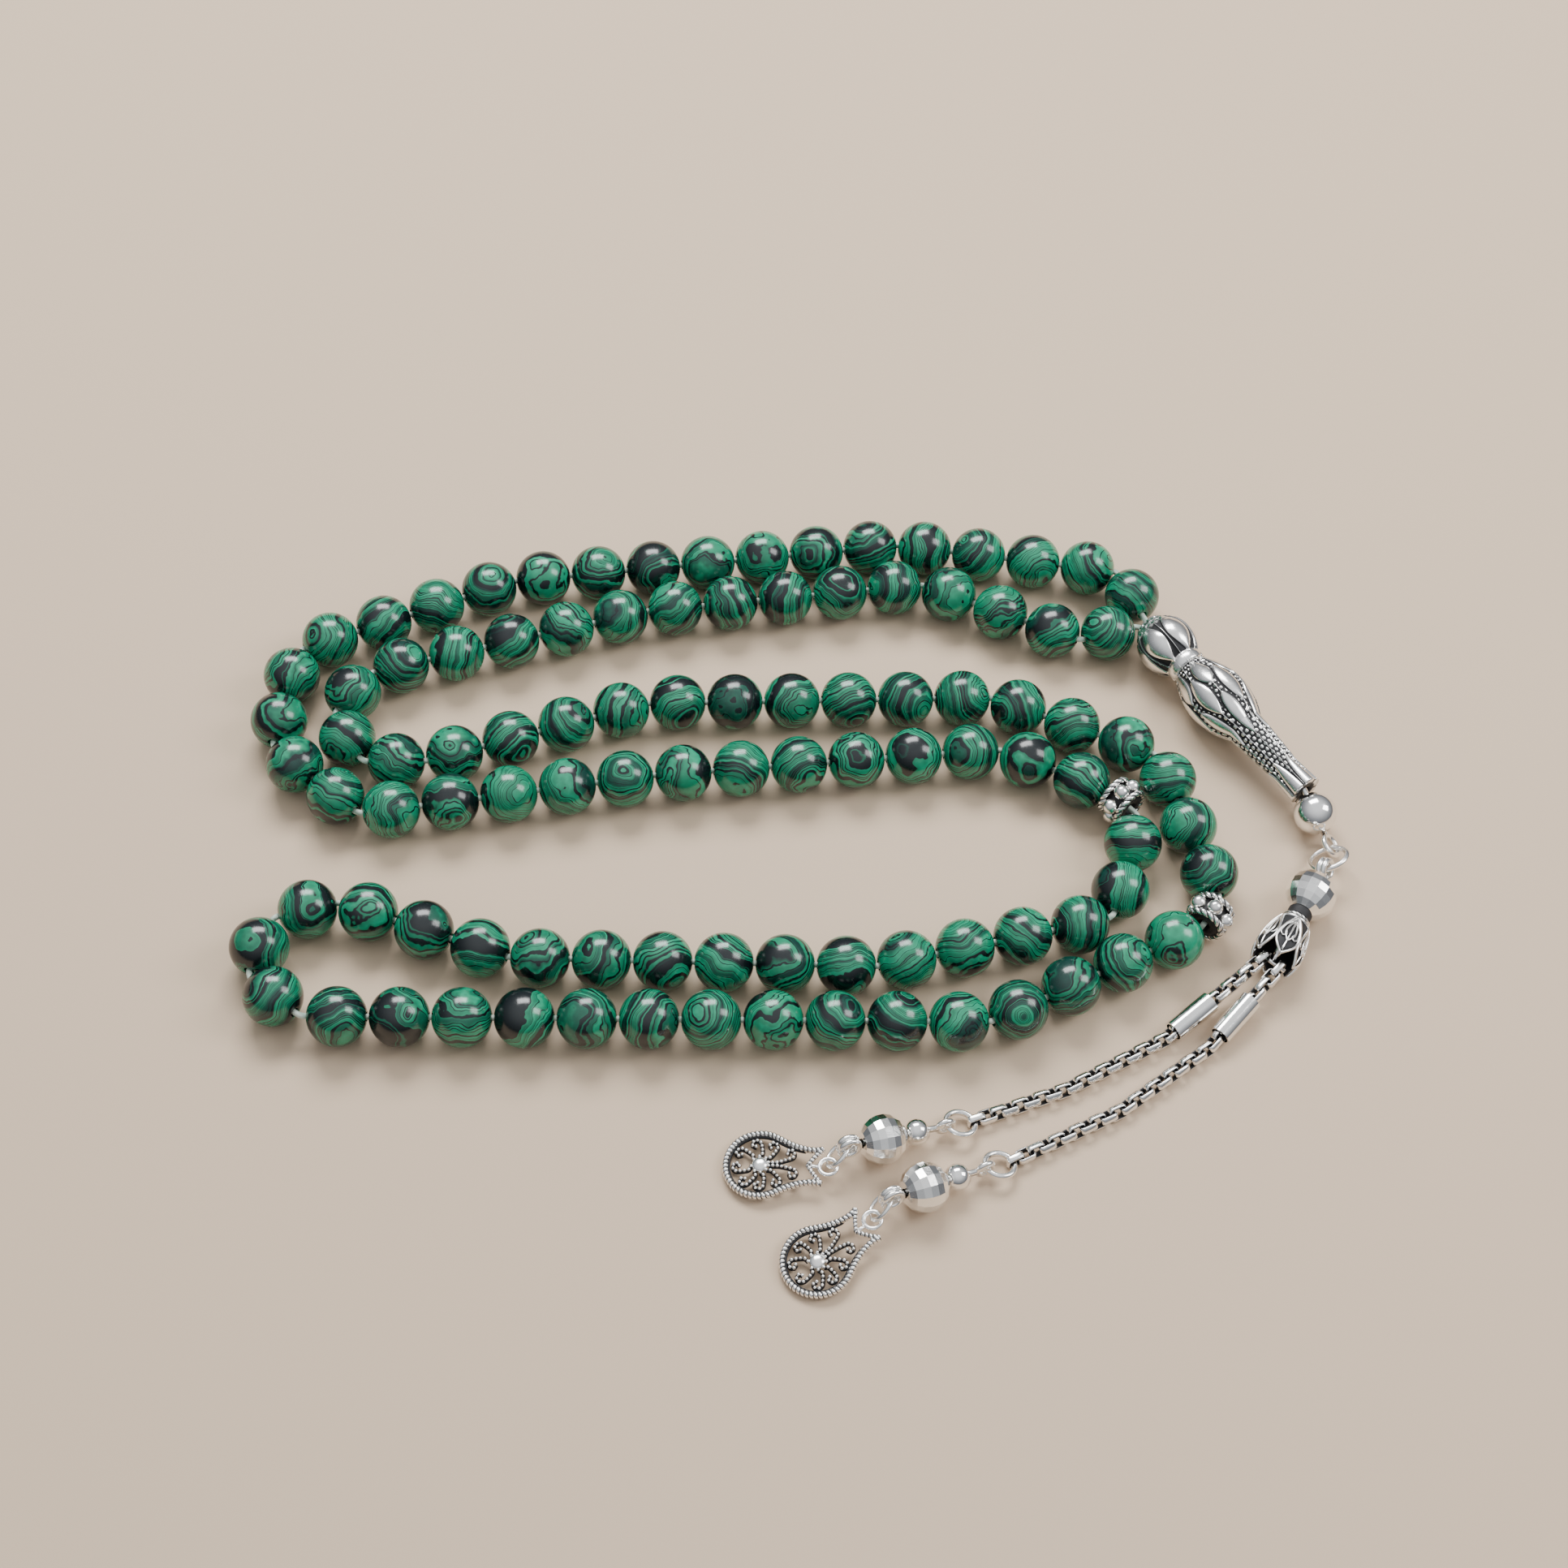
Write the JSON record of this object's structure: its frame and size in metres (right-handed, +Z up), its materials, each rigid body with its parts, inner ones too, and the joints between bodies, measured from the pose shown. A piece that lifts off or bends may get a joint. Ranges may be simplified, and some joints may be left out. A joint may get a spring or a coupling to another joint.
{
  "type": "misbaha prayer beads",
  "caption": "Closed string of round banded stone beads on a thread, with metal dividers, a long worked metal head bead and a tassel of fine chains, drop beads and openwork discs.",
  "frame": {"origin": "Bottom centre of the bounding box of the whole string as it lies, on the surface it lies on.", "axes": "+X runs along the long rows of beads towards the head bead, +Y across the rows towards the mouth of the head bead, +Z up."},
  "size_m": [0.1544, 0.1246, 0.0093],
  "materials": {
    "malachite": "polished banded green stone",
    "thread": "twisted pale thread",
    "worked_silver": "oxidised relief-worked silver",
    "silver_wire": "worn silver wire",
    "polished_silver": "polished silver"
  },
  "bodies": {
    "core": {"thread": "thread", "imame": "worked_silver"},
    "beads_01": {"beads_01": "malachite"},
    "beads_02": {"beads_02": "malachite"},
    "beads_03": {"beads_03": "malachite"},
    "beads_04": {"beads_04": "malachite"},
    "beads_05": {"beads_05": "malachite"},
    "beads_06": {"beads_06": "malachite"},
    "beads_07": {"beads_07": "malachite"},
    "beads_08": {"beads_08": "malachite"},
    "beads_09": {"beads_09": "malachite"},
    "divider_1": {"divider_1": "worked_silver"},
    "beads_10": {"beads_10": "malachite"},
    "beads_11": {"beads_11": "malachite"},
    "beads_12": {"beads_12": "malachite"},
    "beads_13": {"beads_13": "malachite"},
    "beads_14": {"beads_14": "malachite"},
    "beads_15": {"beads_15": "malachite"},
    "beads_16": {"beads_16": "malachite"},
    "beads_17": {"beads_17": "malachite"},
    "beads_18": {"beads_18": "malachite"},
    "divider_2": {"divider_2": "worked_silver"},
    "beads_19": {"beads_19": "malachite"},
    "beads_20": {"beads_20": "malachite"},
    "beads_21": {"beads_21": "malachite"},
    "beads_22": {"beads_22": "malachite"},
    "beads_23": {"beads_23": "malachite"},
    "beads_24": {"beads_24": "malachite"},
    "beads_25": {"beads_25": "malachite"},
    "beads_26": {"beads_26": "malachite"},
    "beads_27": {"beads_27": "malachite"},
    "beads_28": {"beads_28": "malachite"},
    "beads_29": {"beads_29": "malachite"},
    "eye_pin": {"eye_pin": "silver_wire"},
    "ball": {"ball": "polished_silver"},
    "jump_ring": {"jump_ring": "silver_wire"},
    "head_pin": {"head_pin": "silver_wire"},
    "tassel_bead": {"tassel_bead": "polished_silver"},
    "spacer": {"spacer": "polished_silver"},
    "cap": {"cap": "worked_silver"},
    "chain_a1": {"chain_a1": "silver_wire"},
    "chain_a2": {"chain_a2": "silver_wire"},
    "chain_a3": {"chain_a3": "silver_wire"},
    "sleeve_a": {"sleeve_a": "polished_silver"},
    "chain_b1": {"chain_b1": "silver_wire"},
    "chain_b2": {"chain_b2": "silver_wire"},
    "chain_b3": {"chain_b3": "silver_wire"},
    "sleeve_b": {"sleeve_b": "polished_silver"},
    "end_ring_a": {"end_ring_a": "silver_wire"},
    "drop_pin_a": {"drop_pin_a": "silver_wire"},
    "small_ball_a": {"small_ball_a": "polished_silver"},
    "drop_bead_a": {"drop_bead_a": "polished_silver"},
    "oval_ring_a": {"oval_ring_a": "silver_wire"},
    "charm_a": {"charm_a": "worked_silver"},
    "end_ring_b": {"end_ring_b": "silver_wire"},
    "drop_pin_b": {"drop_pin_b": "silver_wire"},
    "small_ball_b": {"small_ball_b": "polished_silver"},
    "drop_bead_b": {"drop_bead_b": "polished_silver"},
    "oval_ring_b": {"oval_ring_b": "silver_wire"},
    "charm_b": {"charm_b": "worked_silver"}
  },
  "joints": [
    {"name": "beads_01_spin", "type": "hinge", "parent": "core", "child": "beads_01", "pos_m": [0.04839, 0.05129, 0.00412], "axis": [-0.3584, 0.9336, 0], "continuous": true},
    {"name": "beads_02_spin", "type": "hinge", "parent": "core", "child": "beads_02", "pos_m": [0.04188, 0.05619, 0.00412], "axis": [-0.9962, 0.0872, 0], "continuous": true},
    {"name": "beads_03_spin", "type": "hinge", "parent": "core", "child": "beads_03", "pos_m": [0.00938, 0.05789, 0.00412], "axis": [-0.9816, -0.1908, 0], "continuous": true},
    {"name": "beads_04_spin", "type": "hinge", "parent": "core", "child": "beads_04", "pos_m": [-0.04632, 0.04591, 0.00412], "axis": [-0.891, -0.454, 0], "continuous": true},
    {"name": "beads_05_spin", "type": "hinge", "parent": "core", "child": "beads_05", "pos_m": [-0.07261, 0.02801, 0.00412], "axis": [-0.0698, -0.9976, 0], "continuous": true},
    {"name": "beads_06_spin", "type": "hinge", "parent": "core", "child": "beads_06", "pos_m": [-0.06986, 0.01244, 0.00412], "axis": [0.788, -0.6157, 0], "continuous": true},
    {"name": "beads_07_spin", "type": "hinge", "parent": "core", "child": "beads_07", "pos_m": [-0.05548, 0.00566, 0.00412], "axis": [0.9744, 0.225, 0], "continuous": true},
    {"name": "beads_08_spin", "type": "hinge", "parent": "core", "child": "beads_08", "pos_m": [-0.01572, 0.01455, 0.00412], "axis": [0.9877, 0.1564, 0], "continuous": true},
    {"name": "beads_09_spin", "type": "hinge", "parent": "core", "child": "beads_09", "pos_m": [0.03263, 0.02, 0.00412], "axis": [0.9272, -0.3746, 0], "continuous": true},
    {"name": "divider_1_spin", "type": "hinge", "parent": "core", "child": "divider_1", "pos_m": [0.04565, 0.01378, 0.00412], "axis": [0.7071, -0.7071, 0], "continuous": true},
    {"name": "beads_10_spin", "type": "hinge", "parent": "core", "child": "beads_10", "pos_m": [0.04704, 0.00672, 0.00412], "axis": [-0.2419, -0.9703, 0], "continuous": true},
    {"name": "beads_11_spin", "type": "hinge", "parent": "core", "child": "beads_11", "pos_m": [0.03946, -0.0071, 0.00412], "axis": [-0.9563, -0.2924, 0], "continuous": true},
    {"name": "beads_12_spin", "type": "hinge", "parent": "core", "child": "beads_12", "pos_m": [0.00804, -0.0156, 0.00412], "axis": [-0.9994, -0.0349, 0], "continuous": true},
    {"name": "beads_13_spin", "type": "hinge", "parent": "core", "child": "beads_13", "pos_m": [-0.04077, -0.01596, 0.00412], "axis": [-0.9563, 0.2924, 0], "continuous": true},
    {"name": "beads_14_spin", "type": "hinge", "parent": "core", "child": "beads_14", "pos_m": [-0.06451, -0.01133, 0.00412], "axis": [-0.9455, -0.3256, 0], "continuous": true},
    {"name": "beads_15_spin", "type": "hinge", "parent": "core", "child": "beads_15", "pos_m": [-0.06999, -0.01761, 0.00412], "axis": [-0.1949, -0.9808, 0], "continuous": true},
    {"name": "beads_16_spin", "type": "hinge", "parent": "core", "child": "beads_16", "pos_m": [-0.06699, -0.0251, 0.00412], "axis": [0.818, -0.5752, 0], "continuous": true},
    {"name": "beads_17_spin", "type": "hinge", "parent": "core", "child": "beads_17", "pos_m": [-0.05826, -0.02761, 0.00412], "axis": [0.9986, 0.0523, 0], "continuous": true},
    {"name": "beads_18_spin", "type": "hinge", "parent": "core", "child": "beads_18", "pos_m": [0.03094, -0.02103, 0.00412], "axis": [0.866, 0.5, 0], "continuous": true},
    {"name": "divider_2_spin", "type": "hinge", "parent": "core", "child": "divider_2", "pos_m": [0.05706, -0.00463, 0.00412], "axis": [0.5299, 0.848, 0], "continuous": true},
    {"name": "beads_19_spin", "type": "hinge", "parent": "core", "child": "beads_19", "pos_m": [0.05738, 0.00239, 0.00412], "axis": [-0.309, 0.9511, 0], "continuous": true},
    {"name": "beads_20_spin", "type": "hinge", "parent": "core", "child": "beads_20", "pos_m": [0.04668, 0.02375, 0.00412], "axis": [-0.9397, 0.342, 0], "continuous": true},
    {"name": "beads_21_spin", "type": "hinge", "parent": "core", "child": "beads_21", "pos_m": [0.02328, 0.03039, 0.00412], "axis": [-0.9962, -0.0872, 0], "continuous": true},
    {"name": "beads_22_spin", "type": "hinge", "parent": "core", "child": "beads_22", "pos_m": [-0.02524, 0.02494, 0.00412], "axis": [-0.9272, -0.3746, 0], "continuous": true},
    {"name": "beads_23_spin", "type": "hinge", "parent": "core", "child": "beads_23", "pos_m": [-0.05583, 0.01388, 0.00412], "axis": [-0.9962, -0.0872, 0], "continuous": true},
    {"name": "beads_24_spin", "type": "hinge", "parent": "core", "child": "beads_24", "pos_m": [-0.06319, 0.01739, 0.00412], "axis": [-0.5592, 0.829, 0], "continuous": true},
    {"name": "beads_25_spin", "type": "hinge", "parent": "core", "child": "beads_25", "pos_m": [-0.06354, 0.02553, 0.00412], "axis": [0.4848, 0.8746, 0], "continuous": true},
    {"name": "beads_26_spin", "type": "hinge", "parent": "core", "child": "beads_26", "pos_m": [-0.05735, 0.03082, 0.00412], "axis": [0.9397, 0.342, 0], "continuous": true},
    {"name": "beads_27_spin", "type": "hinge", "parent": "core", "child": "beads_27", "pos_m": [-0.01886, 0.04415, 0.00412], "axis": [0.9816, 0.1908, 0], "continuous": true},
    {"name": "beads_28_spin", "type": "hinge", "parent": "core", "child": "beads_28", "pos_m": [0.02126, 0.04966, 0.00412], "axis": [0.9336, -0.3584, 0], "continuous": true},
    {"name": "beads_29_spin", "type": "hinge", "parent": "core", "child": "beads_29", "pos_m": [0.04463, 0.04389, 0.00412], "axis": [0.9272, 0.3746, 0], "continuous": true},
    {"name": "eye_pin_spin", "type": "hinge", "parent": "core", "child": "eye_pin", "pos_m": [0.07126, 0.01719, 0.00472], "axis": [0.4192, -0.8595, -0.2924], "continuous": true},
    {"name": "ball_spin", "type": "hinge", "parent": "eye_pin", "child": "ball", "pos_m": [0.0729, 0.01384, 0.00358], "axis": [0.4192, -0.8595, -0.2924], "continuous": true},
    {"name": "jump_ring_lift", "type": "hinge", "parent": "eye_pin", "child": "jump_ring", "pos_m": [0.07482, 0.00805, 0.00244], "axis": [-0.725, 0.2509, 0.6414], "range_deg": [0, 15]},
    {"name": "head_pin_lift", "type": "hinge", "parent": "jump_ring", "child": "head_pin", "pos_m": [0.07354, 0.00436, 0.00367], "axis": [-0.8534, 0.1264, -0.5057], "range_deg": [0, 12]},
    {"name": "tassel_bead_spin", "type": "hinge", "parent": "head_pin", "child": "tassel_bead", "pos_m": [0.0712, -0.00006, 0.00367], "axis": [-0.4695, -0.8829, 0], "continuous": true},
    {"name": "spacer_spin", "type": "hinge", "parent": "head_pin", "child": "spacer", "pos_m": [0.06965, -0.00297, 0.00367], "axis": [-0.4695, -0.8829, 0], "continuous": true},
    {"name": "cap_spin", "type": "hinge", "parent": "head_pin", "child": "cap", "pos_m": [0.06901, -0.00417, 0.00367], "axis": [-0.4695, -0.8829, 0], "continuous": true},
    {"name": "chain_a1_lift", "type": "hinge", "parent": "head_pin", "child": "chain_a1", "pos_m": [0.0643, -0.01043, 0.00367], "axis": [-0.766, 0.6428, 0], "range_deg": [0, 20]},
    {"name": "chain_a2_lift", "type": "hinge", "parent": "chain_a1", "child": "chain_a2", "pos_m": [0.0506, -0.02276, 0.00144], "axis": [-0.6691, 0.7431, 0], "range_deg": [0, 15]},
    {"name": "chain_a3_lift", "type": "hinge", "parent": "chain_a2", "child": "chain_a3", "pos_m": [0.03746, -0.03097, 0.00114], "axis": [-0.5299, 0.848, 0], "range_deg": [0, 15]},
    {"name": "sleeve_a_slide", "type": "slide", "parent": "chain_a1", "child": "sleeve_a", "axis": [-0.7378, -0.6643, -0.1201], "range_m": [-0.004, 0.001]},
    {"name": "chain_b1_lift", "type": "hinge", "parent": "head_pin", "child": "chain_b1", "pos_m": [0.06622, -0.01203, 0.00367], "axis": [-0.766, 0.6428, 0], "range_deg": [0, 20]},
    {"name": "chain_b2_lift", "type": "hinge", "parent": "chain_b1", "child": "chain_b2", "pos_m": [0.05639, -0.02374, 0.00125], "axis": [-0.766, 0.6428, 0], "range_deg": [0, 15]},
    {"name": "chain_b3_lift", "type": "hinge", "parent": "chain_b2", "child": "chain_b3", "pos_m": [0.04452, -0.0337, 0.00114], "axis": [-0.6428, 0.766, 0], "range_deg": [0, 15]},
    {"name": "sleeve_b_slide", "type": "slide", "parent": "chain_b1", "child": "sleeve_b", "axis": [-0.6349, -0.7566, -0.1562], "range_m": [-0.002, 0.002]},
    {"name": "end_ring_a_lift", "type": "hinge", "parent": "chain_a3", "child": "end_ring_a", "pos_m": [0.02535, -0.03636, 0.00114], "axis": [-0.4067, 0.9135, 0], "range_deg": [0, 15]},
    {"name": "drop_pin_a_lift", "type": "hinge", "parent": "end_ring_a", "child": "drop_pin_a", "pos_m": [0.0218, -0.03773, 0.00198], "axis": [-0.3879, 0.906, -0.1696], "range_deg": [0, 15]},
    {"name": "small_ball_a_spin", "type": "hinge", "parent": "drop_pin_a", "child": "small_ball_a", "pos_m": [0.01788, -0.03923, 0.00265], "axis": [-0.9221, -0.354, 0.1564], "continuous": true},
    {"name": "drop_bead_a_spin", "type": "hinge", "parent": "drop_pin_a", "child": "drop_bead_a", "pos_m": [0.0135, -0.04091, 0.00339], "axis": [-0.9221, -0.354, 0.1564], "continuous": true},
    {"name": "oval_ring_a_lift", "type": "hinge", "parent": "drop_pin_a", "child": "oval_ring_a", "pos_m": [0.00917, -0.04258, 0.00412], "axis": [-0.3752, 0.9167, -0.1375], "range_deg": [0, 12]},
    {"name": "charm_a_lift", "type": "hinge", "parent": "oval_ring_a", "child": "charm_a", "pos_m": [0.00671, -0.04466, 0.00219], "axis": [-0.3815, 0.5338, -0.7547], "range_deg": [0, 12]},
    {"name": "end_ring_b_lift", "type": "hinge", "parent": "chain_b3", "child": "end_ring_b", "pos_m": [0.03036, -0.04188, 0.00114], "axis": [-0.5, 0.866, 0], "range_deg": [0, 15]},
    {"name": "drop_pin_b_lift", "type": "hinge", "parent": "end_ring_b", "child": "drop_pin_b", "pos_m": [0.02694, -0.04354, 0.00198], "axis": [-0.4654, 0.8687, -0.1696], "range_deg": [0, 15]},
    {"name": "small_ball_b_spin", "type": "hinge", "parent": "drop_pin_b", "child": "small_ball_b", "pos_m": [0.02317, -0.04538, 0.00265], "axis": [-0.8877, -0.433, 0.1564], "continuous": true},
    {"name": "drop_bead_b_spin", "type": "hinge", "parent": "drop_pin_b", "child": "drop_bead_b", "pos_m": [0.01895, -0.04744, 0.00339], "axis": [-0.8877, -0.433, 0.1564], "continuous": true},
    {"name": "oval_ring_b_lift", "type": "hinge", "parent": "drop_pin_b", "child": "oval_ring_b", "pos_m": [0.01478, -0.04948, 0.00412], "axis": [-0.4537, 0.8805, -0.1375], "range_deg": [0, 12]},
    {"name": "charm_b_lift", "type": "hinge", "parent": "oval_ring_b", "child": "charm_b", "pos_m": [0.01251, -0.05177, 0.00219], "axis": [-0.4265, 0.4986, -0.7547], "range_deg": [0, 12]}
  ]
}
